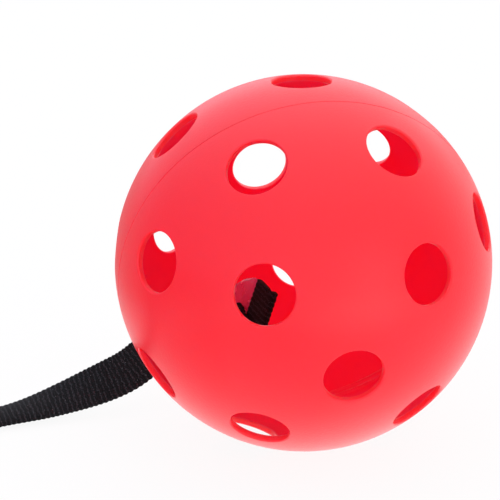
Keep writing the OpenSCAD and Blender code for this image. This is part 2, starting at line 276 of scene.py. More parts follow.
# Painted red glow: the pink stands for the ball's red light seen through the clear glue; the lumps vary it a
# little.
cloud_and_painted_red_glow = add(tree, "ShaderNodeMix", {"data_type": "RGBA"}, {
    "Factor": lumps.outputs["Fac"], "A": linear("#ff6c9c"), "B": linear("#f65f92")})
lump_gloss = add(tree, "ShaderNodeMapRange", links={
    "Value": lumps.outputs["Fac"], "To Min": 0.15, "To Max": 0.35})
lump_skin = add(tree, "ShaderNodeBump", links={
    "Height": lumps.outputs["Fac"], "Strength": 0.5, "Distance": LUMP_RISE * MM})
melt = add(tree, "ShaderNodeBsdfPrincipled", links={
    "Base Color": cloud_and_painted_red_glow.outputs["Result"], "Roughness": lump_gloss.outputs["Result"],
    "Normal": lump_skin.outputs["Normal"], "IOR": 1.48, "Subsurface Weight": 1.0,
    "Subsurface Radius": (1.0, 0.8, 0.9), "Subsurface Scale": GLUE_LIGHT_REACH * MM,
    "Transmission Weight": 0.3})
add(tree, "ShaderNodeOutputMaterial", links={"Surface": melt.outputs["BSDF"]})
print(glue_finish.name, "nodes:", len(tree.nodes))

# %% [markdown]
# ## Sewing thread
#
# The hand loop is closed with bonded polyester thread, a little glossier than the strap. Its two plies
# are twisted, which shows as slanting bands: a bump, with a painted shade that colours the band crests
# lighter and the grooves darker. Real ones are about 0.3 mm apart. The wave's bands come out at about
# 0.7 mm, coarse enough to show.

# %% Finish: black sewing thread
PLY, PLY_RISE = 0.3, 0.05
sewing_thread, tree = new_finish("black_sewing_thread")
place = add(tree, "ShaderNodeTexCoord")
twist = add(tree, "ShaderNodeTexWave", {"bands_direction": "DIAGONAL"}, {
    "Vector": place.outputs["Object"], "Scale": 1 / (2 * math.pi * PLY * MM), "Distortion": 1.0})
# Painted shade: the twist's crests are coloured lighter and its grooves darker.
plies_with_painted_shade = add(tree, "ShaderNodeMix", {"data_type": "RGBA"}, {
    "Factor": twist.outputs["Fac"], "A": linear("#151517"), "B": linear("#38383b")})
plies_bump = add(tree, "ShaderNodeBump", links={
    "Height": twist.outputs["Fac"], "Strength": 0.4, "Distance": PLY_RISE * MM})
yarn = add(tree, "ShaderNodeBsdfPrincipled", links={
    "Base Color": plies_with_painted_shade.outputs["Result"], "Normal": plies_bump.outputs["Normal"], "Roughness": 0.5,
    "IOR": 1.5, "Specular IOR Level": 0.3})
add(tree, "ShaderNodeOutputMaterial", links={"Surface": yarn.outputs["BSDF"]})
print(sewing_thread.name, "nodes:", len(tree.nodes))

# %% [markdown]
# ## How the ball lies
#
# The ball has two poles, one in the middle of each half. It has rolled so that the front pole looks
# at the viewer, a little down and to the right. Each half has a hole at its pole, a ring of four and a
# ring of eight. The rear half carries the same pattern, turned about the poles. One hole of the rear
# ring of eight lets the strap out.

# %% The resting ball
BALL_R, WALL = 36.0, 1.3
INNER_R = BALL_R - WALL
HOLE_R, EDGE_R, INNER_BEVEL = 5.6, 0.45, 0.15
RING_FOUR, RING_EIGHT, REAR_TURN = 37.2, 71.3, 65.1
BALL_CENTRE = np.array([0.0, 0.0, BALL_R])
ball_turn = rotation((-75.7, "Z"), (105.4, "Y"), (-132.5, "Z"))


def polar(tilt, heading):
    t, h = np.radians(tilt), np.radians(heading)
    return np.array([np.sin(t) * np.cos(h), np.sin(t) * np.sin(h), np.cos(t)])


front_holes = [polar(0, 0)] + [polar(RING_FOUR, 90 * k) for k in range(4)]
front_holes += [polar(RING_EIGHT, 22.5 + 45 * k) for k in range(8)]
rear_holes = [polar(180, 0)] + [polar(180 - RING_FOUR, REAR_TURN + 90 * k) for k in range(4)]
rear_holes += [polar(180 - RING_EIGHT, REAR_TURN + 22.5 + 45 * k) for k in range(8)]
exit_dir = ball_turn @ rear_holes[5]
exit_mouth = BALL_CENTRE + BALL_R * exit_dir
print("strap hole looks towards", exit_dir.round(3), "from", exit_mouth.round(2))

# %% [markdown]
# ## The strap's route
#
# The strap leaves the knot, goes straight through its hole, on edge and touching the hole's lower
# side, then twists flat as it falls to the table. The points are those of the solid: places on the
# table are counted from the hole's mouth, with a height and a lean from level. One smooth spline goes
# through them all.

# %% Route of the strap
STRAP_W, STRAP_T = 8.0, 1.2
EXIT_LEAN, STRAP_DROP = 80.0, HOLE_R - STRAP_W / 2 - 0.5
STRAIGHT_IN, STRAIGHT_OUT = 3, 2
run_points = [
    (-8, -0.5, 8.5, 64), (-20.5, -2, 3.5, 22), (-30.5, -5, 1.4, 0),
    (-42.5, -9, 0.7, 0), (-54.5, -10.5, 0.65, 0), (-66.5, -10.5, 0.65, 0)]


def width_dir(t, lean):
    level = unit([t[1], -t[0], 0])
    return math.cos(math.radians(lean)) * level - math.sin(math.radians(lean)) * np.cross(t, level)


exit_width = width_dir(exit_dir, EXIT_LEAN)
throat_start = exit_mouth - exit_dir * (WALL + STRAIGHT_IN) - exit_width * STRAP_DROP
throat_end = exit_mouth + exit_dir * STRAIGHT_OUT - exit_width * STRAP_DROP
lie = [[*throat_start, EXIT_LEAN], [*throat_end, EXIT_LEAN]]
lie += [[exit_mouth[0] + x, exit_mouth[1] + y, z, lean] for x, y, z, lean in run_points]
lie = np.array(lie)
run_end = lie[-1, :3]


def spline(points, steps):
    ends = np.vstack([2 * points[0] - points[1], points, 2 * points[-1] - points[-2]])
    u = np.arange(steps)[:, None] / steps
    out = []
    for a, b, c, d in zip(ends, ends[1:], ends[2:], ends[3:]):
        out.append((2 * b + (c - a) * u + (2 * a - 5 * b + 4 * c - d) * u ** 2
                    + (3 * b - a - 3 * c + d) * u ** 3) / 2)
    return np.vstack(out + [points[-1:]])


run_line = spline(lie, 40)
print("strap on the table ends at", run_end.round(2))

# %% [markdown]
# ## The knot's place
#
# Inside the ball the strap is tied in an overhand knot, pulled flat. A flat strap tied so folds into
# a regular pentagon. Its place and turn are those of the solid. The short run from the knot to the
# hole is one curve whose ends continue the knot and the hole.

# %% Knot frame and inner run
PULL = 8
KNOT_SIDE = STRAP_W / math.sin(math.radians(72))
KNOT_APOTHEM = KNOT_SIDE / 2 / math.tan(math.radians(36))
KNOT_CIRCUM = KNOT_SIDE / 2 / math.sin(math.radians(36))
KNOT_FROM_HOLE = np.array([13.7, -16.9, 4.6])
knot_at = BALL_CENTRE + INNER_R * exit_dir + KNOT_FROM_HOLE
knot_turn = rotation((-63, "Z"), (-13, "Y"), (72.5, "X"))
corner_angles = np.radians(72 * np.arange(5) - 126)
corners = KNOT_CIRCUM * np.stack([np.cos(corner_angles), np.sin(corner_angles)], axis=-1)
knot_start = np.array([corners[4][0] - 1, STRAP_W / 2 - KNOT_APOTHEM, -1.5 * STRAP_T])
inner_start = knot_at + knot_turn @ knot_start
inner_dir, inner_width = knot_turn @ [-1, 0, 0], knot_turn @ [0, 1, 0]
u = np.linspace(0, 1, 80)[:, None]
pull = [inner_start, inner_start + inner_dir * PULL, throat_start - exit_dir * PULL, throat_start]
inner_line = (pull[0] * (1 - u) ** 3 + 3 * pull[1] * u * (1 - u) ** 2 + 3 * pull[2] * u ** 2 * (1 - u)
              + pull[3] * u ** 3)
inner_widths = inner_width * (1 - u) + exit_width * u
print("knot centre:", knot_at.round(2), "inner run starts at", inner_start.round(2))

# %% [markdown]
# ## Webbing as a grid
#
# Webbing is made directly as a fine grid of points along and across the strap, because a soft
# simulation would wash its ribs away. The grid's thickness swells at every rib, and its edges step
# out with the ribs, which gives the notched selvage. Each point also keeps its place along and across
# the strap as a map for the weave.

# %% Webbing builder
RIB_RISE, SELVAGE_STEP, SELVAGE_THICK = 0.06, 0.16, 0.45
STATION_STEP, UNDERSIDE_MAP = 0.15, 40
ACROSS = np.sin(np.linspace(-1, 1, 21) * math.pi / 2)


def webbing(name, middle, normal, along_mm, across_unit, arch=0.0):
    """middle and normal are (stations, columns, 3) arrays of the strap's mid surface at full width."""
    rib = (0.5 + 0.5 * np.cos(2 * math.pi * along_mm / RIB_PITCH)) ** 0.7
    edge = 1 - np.abs(across_unit) ** 8
    thick = SELVAGE_THICK + (1 - SELVAGE_THICK) * np.sqrt(edge)
    half = (STRAP_T / 2 - RIB_RISE * (1 - rib[:, None])) * thick[None, :]
    centre = middle.mean(axis=1, keepdims=True)
    reach = 1 + SELVAGE_STEP / (STRAP_W / 2) * rib[:, None, None]
    body = centre + (middle - centre) * reach
    body = body + normal * (np.asarray(arch) * (1 - across_unit[None, :] ** 2))[:, :, None]
    top, bottom = body + normal * half[..., None], body - normal * half[..., None]
    n, m = half.shape
    points = np.concatenate([top.reshape(-1, 3), bottom.reshape(-1, 3)])
    low = n * m
    faces = []
    for i in range(n - 1):
        for j in range(m - 1):
            a = i * m + j
            faces.append((a, a + 1, a + m + 1, a + m))
            faces.append((low + a, low + a + m, low + a + m + 1, low + a + 1))
        for j, flip in ((0, False), (m - 1, True)):
            a = i * m + j
            ring = (a, a + m, low + a + m, low + a)
            faces.append(ring[::-1] if flip else ring)
    last = (n - 1) * m
    for j in range(m - 1):
        faces.append((j + 1, j, low + j, low + j + 1))
        faces.append((last + j, last + j + 1, low + last + j + 1, low + last + j))
    piece = new_piece(name, points, faces, elastic)
    place = np.stack(np.broadcast_arrays(along_mm[:, None], across_unit[None, :] * STRAP_W / 2), axis=-1)
    place = np.concatenate([place.reshape(-1, 2), place.reshape(-1, 2) + [0, UNDERSIDE_MAP]])
    corner_points = values_of(piece.data.loops, "vertex_index", kind=np.int32)
    strap_uv = piece.data.uv_layers.new(name="strap_mm")
    strap_uv.data.foreach_set("uv", place[corner_points].astype(np.float32).ravel())
    print(name, "stations:", n, "faces:", len(faces))
    return piece


# %% Even stations along a line
def along_line(line, widths):
    """Even stations along a line: places, width and face directions, and lengths."""
    lengths = np.concatenate([[0], np.cumsum(np.linalg.norm(np.diff(line, axis=0), axis=1))])
    stations = np.linspace(0, lengths[-1], int(lengths[-1] / STATION_STEP) + 1)
    even = np.stack([np.interp(stations, lengths, line[:, k]) for k in range(3)], axis=-1)
    wide = np.stack([np.interp(stations, lengths, widths[:, k]) for k in range(3)], axis=-1)
    ahead = unit(np.gradient(even, axis=0))
    wide = unit(wide - ahead * np.sum(wide * ahead, axis=1, keepdims=True))
    return even, wide, np.cross(ahead, wide), stations


# %% [markdown]
# ## The strap
#
# One length of webbing runs from the knot through the hole to the hand loop. Where it lies on the
# table it is slightly arched, its edges down, as elastic dries after it has been wound up.

# %% Strap from the knot to the hand loop
ARCH, ARCH_FROM, ARCH_OVER = 0.7, -38, 18
run_steps = np.gradient(run_line[:, :3], axis=0)
run_widths = np.array([width_dir(t, q[3]) for t, q in zip(unit(run_steps), run_line)])
strap_line = np.vstack([inner_line[:-1], run_line[:, :3]])
strap_widths = np.vstack([inner_widths[:-1], run_widths])
middle, wide, face, stations = along_line(strap_line, strap_widths)
on_table = np.clip((ARCH_FROM - middle[:, 0]) / ARCH_OVER, 0, 1)[:, None]
surface = middle[:, None, :] + wide[:, None, :] * (ACROSS * STRAP_W / 2)[None, :, None]
up = np.sign(face[-1, 2])
faces_up = np.repeat(face[:, None, :] * up, len(ACROSS), axis=1)
strap = webbing("webbing_strap", surface, faces_up, stations, ACROSS * up, ARCH * on_table)

# %% [markdown]
# ## The knot
#
# The knot is the same webbing, rolled over three sides of the pentagon in turn. A point of the flat
# strap that lies past a fold goes round a half circle and comes back on another layer. Doing that
# three times takes the strap over, under and through itself. Its cut end stands out of the knot. It was
# snipped by hand in two bites, so it has a small notch and one corner is longer.

# %% Folds of the knot
# Each fold names a side of the pentagon, and the layers before and after it
folds = [(1, -1.5, 0.5), (3, 0.5, 1.5), (0, 1.5, -0.5)]


def folded(flat):
    """Place and face direction of a point of the flat strap, in the knot's own frame."""
    spot, level, facing = np.array(flat, float), -1.5, 1.0
    for side, low, high in folds:
        a, b = corners[side], corners[(side + 1) % 5]
        run = unit(b - a)
        out = np.array([run[1], -run[0]])
        past, beside = (spot - a) @ out, (spot - a) @ run
        roll = abs(high - low) * STRAP_T / 2
        if past <= 0:
            break
        if past < math.pi * roll:
            turn = past / roll
            up = math.copysign(1, high - low)
            xy = a + run * beside + out * roll * math.sin(turn)
            z = low * STRAP_T + up * roll * (1 - math.cos(turn))
            tip = np.array([*(out * -math.sin(turn) * up), math.cos(turn)])
            return np.array([*xy, z]), tip * facing
        spot = a + run * beside - out * (past - math.pi * roll)
        level, facing = high, -facing
    return np.array([*spot, level * STRAP_T]), np.array([0, 0, facing])


# %% Knot
TAIL, SNIP_FADE = 8.6, 1.5
NOTCH_AT, NOTCH_DEEP, NOTCH_WIDE, LONG_CORNER = 0.3, 0.45, 0.15, 0.4
tail_along = np.array([math.cos(math.radians(72)), math.sin(math.radians(72))])


def tail_reach(s):
    spot, _ = folded((knot_start[0] + s, knot_start[1]))
    side_middle = (corners[2] + corners[3]) / 2
    return (spot[:2] - side_middle) @ tail_along


tail_lengths = np.arange(40, 90, 0.05)
knot_length = next(s for s in tail_lengths if tail_reach(s) >= TAIL and tail_reach(s - 1) > 0)
knot_stations = np.linspace(0, knot_length, int(knot_length / STATION_STEP) + 1)
grid = [[folded((knot_start[0] + s, knot_start[1] + v * STRAP_W / 2)) for v in ACROSS]
        for s in knot_stations]
knot_middle = np.array([[p for p, _ in row] for row in grid]) @ knot_turn.T + knot_at
knot_face = np.array([[n for _, n in row] for row in grid]) @ knot_turn.T
near_cut = np.clip((knot_stations - knot_length + SNIP_FADE) / SNIP_FADE, 0, 1)[:, None, None] ** 2
from_notch = (ACROSS - NOTCH_AT) / NOTCH_WIDE
snip = LONG_CORNER * np.clip(from_notch / 2, 0, 1) - NOTCH_DEEP * np.exp(-from_notch ** 2)
knot_middle = knot_middle + near_cut * snip[None, :, None] * (knot_turn @ [*tail_along, 0])
knot = webbing("webbing_knot", knot_middle, knot_face * -1, knot_stations, ACROSS * -1)
print("strap in the knot:", round(float(knot_length), 2), "mm")

# %% [markdown]
# ## The drop of glue
#
# The glue fills the corner between the cut end and the knot. Its outline is that of the solid. Rings of
# that outline are stacked, small at the faces and full in the middle, so that the drop bulges.

# %% Glue
GLUE_T, GLUE_L, GLUE_W, GLUE_LAP, TAIL_LAP = 1.4, 7.0, 8.5, 0.9, 1.3
glue_outline = np.array([
    (0, 1), (0.14, 1), (0.47, 0.79), (0.71, 0.54), (0.92, 0.25), (1, 0.05), (0.9, 0), (0, 0.03)])
tail_left = np.array([-math.sin(math.radians(72)), math.cos(math.radians(72))])
leftwards = glue_outline[:, :1] * (GLUE_W + TAIL_LAP) - TAIL_LAP
lengthwise = glue_outline[:, 1:] * (GLUE_L + GLUE_LAP) - GLUE_LAP
outline = corners[3] + tail_left * leftwards + tail_along * lengthwise
fine = np.array([a + (b - a) * t for a, b in zip(outline, np.roll(outline, -1, axis=0))
                 for t in np.linspace(0, 1, 8)[:-1]])
for _ in range(3):
    fine = 0.5 * fine + 0.25 * (np.roll(fine, 1, axis=0) + np.roll(fine, -1, axis=0))
heart = fine.mean(axis=0)
glue_points, glue_faces = [], []
levels = np.radians(np.linspace(-82, 82, 13))
for a in levels:
    shrink = 0.1 + 0.9 * math.cos(a) ** 0.5
    z = -STRAP_T / 2 + GLUE_T / 2 * math.sin(a)
    glue_points += [knot_at + knot_turn @ [*(heart + (q - heart) * shrink), z] for q in fine]
ring = len(fine)
for i in range(len(levels) - 1):
    for k in range(ring):
        a, b = i * ring + k, i * ring + (k + 1) % ring
        glue_faces.append((a, b, b + ring, a + ring))
glue_faces.append(tuple(range(ring - 1, -1, -1)))
glue_faces.append(tuple(range((len(levels) - 1) * ring, len(levels) * ring)))
glue = new_piece("glue_drop", glue_points, glue_faces, glue_finish)
print("glue faces:", len(glue.data.polygons))

# %% [markdown]
# ## The hand loop
#
# Past the edge of the picture the strap is turned back and sewn to itself. The loop lies on its lower
# strand and arches over. Seen from the side it is a straight strand, a round end and a slanting upper
# strand that eases into the sewn double layer.

# %% Hand loop
TAB, LOOP, LOOP_H = 16.0, 82.0, 28.0
EASE_UP, EASE_BACK, TAB_SHORT = 12, 9, 0.3
loop_round = LOOP_H / 2 - STRAP_T / 2
loop_hub = np.array([TAB + LOOP - LOOP_H / 2, LOOP_H / 2])
double_layer = np.array([TAB + 0.6, 1.5 * STRAP_T])
to_hub = loop_hub - double_layer
reach = np.linalg.norm(to_hub)
slope = math.atan2(to_hub[1], to_hub[0]) + math.asin(loop_round / reach)
lower = np.stack([np.linspace(0, loop_hub[0], 60), np.full(60, STRAP_T / 2)], axis=-1)
angles = np.linspace(-math.pi / 2, math.pi / 2 + slope, 80)
bend = loop_hub + loop_round * np.stack([np.cos(angles), np.sin(angles)], axis=-1)
ease_top = double_layer + EASE_UP * np.array([math.cos(slope), math.sin(slope)])
ease_end = double_layer - [EASE_BACK, 0]
upper = ease_top + (bend[-1] - ease_top) * np.linspace(1, 0, 40)[:, None]
ease = np.linspace(0, 1, 40)[:, None]
settle = ease_top * (1 - ease) ** 2 + 2 * double_layer * ease * (1 - ease) + ease_end * ease ** 2
cut_end = np.array([[TAB_SHORT, 1.5 * STRAP_T]])
side_view = np.vstack([lower[:-1], bend[:-1], upper[:-1], settle, cut_end])
loop_line = np.insert(side_view, 1, 0, axis=1) * [-1, 1, 1] + [run_end[0], run_end[1], 0]
sideways = np.tile([0.0, 1.0, 0.0], (len(loop_line), 1))
loop_middle, loop_wide, loop_face, loop_stations = along_line(loop_line, sideways)
loop_surface = loop_middle[:, None, :] + loop_wide[:, None, :] * (ACROSS * STRAP_W / 2)[None, :, None]
loop_faces = np.repeat(-loop_face[:, None, :], len(ACROSS), axis=1)
hand_loop = webbing("webbing_hand_loop", loop_surface, loop_faces, loop_stations, -ACROSS)
print("strap in the loop:", round(float(loop_stations[-1]), 1), "mm")

# %% [markdown]
# ## Sewn bars
#
# A bar tack is a close zigzag of thread across the strap. Each stitch is a short arched length of
# thread. Geometry Nodes lay a row of them across the width, leaning by turns left and right, and
# repeat the row for both bars.

# %% One stitch
def arched_stitch(length, thick, rings=7, sides=6):
    points, faces = [], []
    for i in range(rings):
        x = (i / (rings - 1) - 0.5) * length
        lift = thick * (1 - (2 * x / length) ** 4)
        for k in range(sides):
            a = 2 * math.pi / sides * k
            points.append((x, thick / 2 * math.cos(a), lift - thick / 2 + thick / 2 * math.sin(a)))
    for i in range(rings - 1):
        for k in range(sides):
            a, b = i * sides + k, i * sides + (k + 1) % sides
            faces.append((a, b, b + sides, a + sides))
    faces.append(tuple(range(sides - 1, -1, -1)))
    faces.append(tuple(range((rings - 1) * sides, rings * sides)))
    return points, faces


TACK, TACK_H, TACK_STITCHES, TACK_IN, STITCH_LEAN = 1.8, 0.5, 15, 0.6, 0.2
stitch = new_piece("stitch_shape", *arched_stitch(TACK, TACK_H), sewing_thread)
tack_starts = [run_end[0] - (TACK + TACK / 2), run_end[0] - (TAB - 2 * TACK + TACK / 2)]
tack_rows = run_end[1] + np.linspace(-0.5, 0.5, TACK_STITCHES) * (STRAP_W - 2 * TACK_IN)
tack_points = [(x, y, 2 * STRAP_T) for x in tack_starts for y in tack_rows]
bar_tacks = new_piece("bar_tack_threads", tack_points, [])
print("places for stitches:", len(tack_points))

# %% Lay the stitches
sewing, sewing_sockets = new_group("sew_bar_tacks", [
    ("Stitch", "Object"), ("Lean", "Float"), ("Thread", "Material")])
given = add(sewing, "NodeGroupInput")
shape = add(sewing, "GeometryNodeObjectInfo", links={"Object": given.outputs["Stitch"]})
number = add(sewing, "GeometryNodeInputIndex")
by_turns = add(sewing, "ShaderNodeMath", {"operation": "MODULO"}, {0: number.outputs[0], 1: 2.0})
either_way = add(sewing, "ShaderNodeMath", {"operation": "MULTIPLY_ADD"}, {
    0: by_turns.outputs[0], 1: 2.0, 2: -1.0})
leaning = add(sewing, "ShaderNodeMath", {"operation": "MULTIPLY"}, {
    0: either_way.outputs[0], 1: given.outputs["Lean"]})
turn = add(sewing, "ShaderNodeCombineXYZ", links={"Z": leaning.outputs[0]})
laid = add(sewing, "GeometryNodeInstanceOnPoints", links={
    "Points": given.outputs["Geometry"], "Instance": shape.outputs["Geometry"], "Rotation": turn.outputs[0]})
real = add(sewing, "GeometryNodeRealizeInstances", links={"Geometry": laid.outputs["Instances"]})
dyed = add(sewing, "GeometryNodeSetMaterial", links={
    "Geometry": real.outputs["Geometry"], "Material": given.outputs["Thread"]})
add(sewing, "NodeGroupOutput", links={"Geometry": dyed.outputs["Geometry"]})


def settle_nodes(piece, group, sockets, values):
    """Runs a node group on a piece and keeps the result as its plain mesh."""
    modifier = piece.modifiers.new(group.name, "NODES")
    modifier.node_group = group
    for socket, value in zip(sockets, values):
        modifier[socket.identifier] = value
    bpy.context.view_layer.update()
    result = bpy.data.meshes.new_from_object(piece.evaluated_get(bpy.context.evaluated_depsgraph_get()))
    piece.modifiers.clear()
    piece.data = result
    result.name = piece.name
    return piece


settle_nodes(bar_tacks, sewing, sewing_sockets, [stitch, STITCH_LEAN, sewing_thread])
bar_tacks.data.shade_smooth()
bpy.data.objects.remove(stitch)
print("sewn bars, faces:", len(bar_tacks.data.polygons))

# %% [markdown]
# ## The welded shell
#
# The ball is two bowls, 1.3 mm thick, moulded apart and then welded with heat for good. So it is drawn as
# one wall, turned about its poles, with a fine groove outside where the bowls meet. One wall also lets the
# light run on inside the plastic past the seam: two bowls that only touch would show a dark line there.
# The wall is drawn with a narrow shaft at each pole, which the pole's hole then takes away.
#
# The melt squeezes out inside as two low beads, more of it towards the rear bowl. They are seen through the
# lower front hole. A few sine waves make them uneven.

# %% Wall of the ball
SEAM_DEPTH, SEAM_HALF = 0.26, 0.12
SHAFT, AROUND, BOWL_ROWS = 2.0, 192, 72
WELD_REACH, WELD_ROWS, WELD_MARGIN = 1.5, 55, 0.1
BEADS, BEAD_H, BEAD_HALF, BEAD_UNEVEN = (-0.75, 0.55), 0.28, 0.5, 0.5


def weld_bead(z, turn):
    height = max(0, *(1 - ((z - bead) / BEAD_HALF) ** 2 for bead in BEADS))
    waves = math.sin(29 * turn + 9 * z) * math.sin(47 * turn)
    return BEAD_H * height * (1 + BEAD_UNEVEN * waves)


def mirrored(side):
    return [(r, -z) for r, z in side]


def pole_to_seam(radius, last):
    return [(radius * math.sin(a), radius * math.cos(a))
            for a in np.linspace(math.asin(SHAFT / radius), math.acos(last / radius), BOWL_ROWS)]


def ball_wall(name):
    outer, inner = pole_to_seam(BALL_R, SEAM_HALF), pole_to_seam(INNER_R, WELD_REACH + WELD_MARGIN)
    weld_rows = np.linspace(-WELD_REACH, WELD_REACH, WELD_ROWS)
    weld = [(math.sqrt(INNER_R ** 2 - z ** 2), z) for z in weld_rows]
    outside = outer + [(BALL_R - SEAM_DEPTH, 0)] + mirrored(outer)[::-1]
    side = outside + mirrored(inner) + weld + inner[::-1]
    points, faces = [], []
    for i, (r, z) in enumerate(side):
        for k in range(AROUND):
            t = 2 * math.pi * k / AROUND
            reach = r if i < len(outside) else r - weld_bead(z, t)
            points.append((reach * math.cos(t), reach * math.sin(t), z))
            a, b = i * AROUND + k, i * AROUND + (k + 1) % AROUND
            below = (i + 1) % len(side) * AROUND
            faces.append((a, below + k, below + (k + 1) % AROUND, b))
    return new_piece(name, points, faces)


shell = ball_wall("shell_welded")
print("wall faces:", len(shell.data.polygons))

# %% [markdown]
# ## The holes
#
# The holes are alike, so one cutter is turned on a lathe: a bore, a rounded outer edge and a bevelled
# inner edge. Geometry Nodes set it on every hole's place, pointing outwards, and cut all of them from
# the wall at once.

# %% Cutter of one hole
EDGE_SHARE, PAST_EDGE, PAST_BALL = 0.94, 1.2, 2
edge_reach = HOLE_R + EDGE_R
edge_z = math.sqrt((BALL_R - EDGE_SHARE * EDGE_R) ** 2 - edge_reach ** 2)
foot_z = math.sqrt(INNER_R ** 2 - HOLE_R ** 2)
arc = np.radians(np.linspace(0, 108, 10))
cutter_side = [(HOLE_R + 3 * INNER_BEVEL, foot_z - 2 * INNER_BEVEL), (HOLE_R, foot_z + INNER_BEVEL)]
cutter_side += [(edge_reach - EDGE_R * math.cos(a), edge_z + EDGE_R * math.sin(a)) for a in arc]
cutter_side += [(edge_reach + PAST_EDGE, BALL_R + PAST_BALL)]


def lathe(name, side, around=96):
    turns = 2 * math.pi * (np.arange(around) + 0.5) / around
    points = [(r * math.cos(t), r * math.sin(t), z - BALL_R) for r, z in side for t in turns]
    faces = [(i * around + k, i * around + (k + 1) % around, (i + 1) * around + (k + 1) % around,
              (i + 1) * around + k) for i in range(len(side) - 1) for k in range(around)]
    faces.append(tuple(range(around - 1, -1, -1)))
    faces.append(tuple(range((len(side) - 1) * around, len(side) * around)))
    return new_piece(name, points, faces)


cutter = lathe("hole_cutter", cutter_side)
print("cutter faces:", len(cutter.data.polygons))

# %% Perforate the shell
drill, drill_sockets = new_group("perforate_shell", [
    ("Cutter", "Object"), ("Hole places", "Object"), ("Plastic", "Material")])
given = add(drill, "NodeGroupInput")
tool = add(drill, "GeometryNodeObjectInfo", links={"Object": given.outputs["Cutter"]})
spots = add(drill, "GeometryNodeObjectInfo", links={"Object": given.outputs["Hole places"]})
where = add(drill, "GeometryNodeInputPosition")
outwards = add(drill, "FunctionNodeAlignRotationToVector", {"axis": "Z"}, {"Vector": where.outputs[0]})
set_out = add(drill, "GeometryNodeInstanceOnPoints", links={
    "Points": spots.outputs["Geometry"], "Instance": tool.outputs["Geometry"],
    "Rotation": outwards.outputs["Rotation"]})
cutters = add(drill, "GeometryNodeRealizeInstances", links={"Geometry": set_out.outputs["Instances"]})
cut = add(drill, "GeometryNodeMeshBoolean", {"operation": "DIFFERENCE", "solver": "EXACT"}, {
    "Mesh 1": given.outputs["Geometry"], "Mesh 2": cutters.outputs["Geometry"]})
moulded = add(drill, "GeometryNodeSetMaterial", links={
    "Geometry": cut.outputs["Mesh"], "Material": given.outputs["Plastic"]})
add(drill, "NodeGroupOutput", links={"Geometry": moulded.outputs["Geometry"]})

hole_places = new_piece("hole_places", BALL_R * np.array(front_holes + rear_holes), [])
settle_nodes(shell, drill, drill_sockets, [cutter, hole_places, polyethylene])
bpy.data.objects.remove(hole_places)
bpy.data.objects.remove(cutter)
print(shell.name, "faces:", len(shell.data.polygons))

# %% [markdown]
# ## Clean highlights
#
# Cutting leaves long thin faces, and averaged normals would make the highlights wavy round every hole.
# The true surface is known, though: two spheres, a bore, a rounded edge and a bevel. So each corner of
# each face is given the normal of the surface that it belongs to. The weld keeps its averaged normals. The
# same test tells the finish which faces were shaped by the core and which by the pins, and where the
# painted reflection and the painted highlight go.

# %% Surfaces round a hole
to_edge = BALL_R - EDGE_SHARE * EDGE_R
edge_slant = math.acos((BALL_R ** 2 - to_edge ** 2 - EDGE_R ** 2) / (2 * to_edge * EDGE_R))
edge_full = math.pi / 2 + math.atan2(edge_reach, edge_z)
edge_stretch = edge_full / (edge_full - edge_slant)
FAR_OFF, BEVEL_REACH = 9, 0.6


def surfaces(p, axis):
    """Distances of points from outer sphere, inner sphere, bore, rounded edge and bevel, and normals."""
    high = np.sum(p * axis, axis=1, keepdims=True)
    side = p - high * axis
    off = np.linalg.norm(side, axis=1, keepdims=True)
    side = side / np.maximum(off, 1e-9)
    swing = np.arctan2(high - edge_z, edge_reach - off) * edge_stretch
    rounded = -np.cos(swing) * side + np.sin(swing) * axis
    from_arc = np.hypot(off - edge_reach, high - edge_z)
    bevel = -(side + axis) / math.sqrt(2)
    from_bevel = np.abs(off - HOLE_R - foot_z - INNER_BEVEL + high)
    far = np.linalg.norm(p, axis=1, keepdims=True)
    gaps = np.concatenate([
        np.abs(far - BALL_R), np.abs(far - INNER_R),
        np.where(high < edge_z, np.abs(off - HOLE_R), FAR_OFF),
        np.where(high >= edge_z, np.abs(from_arc - EDGE_R), FAR_OFF),
        np.where(off < HOLE_R + BEVEL_REACH, from_bevel, FAR_OFF)], axis=1)
    return gaps, np.stack([p / far, -p / far, -side, rounded, bevel], axis=1)


# %% True normals of the shell
INSIDE, BORE, BEVEL = 1, 2, 4
GAP_ALLOWED, GAP_COST, SURE, WELD_OVER = 0.03, 20, 0.9, 0.02
# Shares of painted reflection on the hole walls and of painted highlight on the bevels, and the beads' polish
BORE_PAINTED_REFLECTION, BEVEL_PAINTED_HIGHLIGHT, BEAD_POLISH = 0.05, 0.1, 0.7


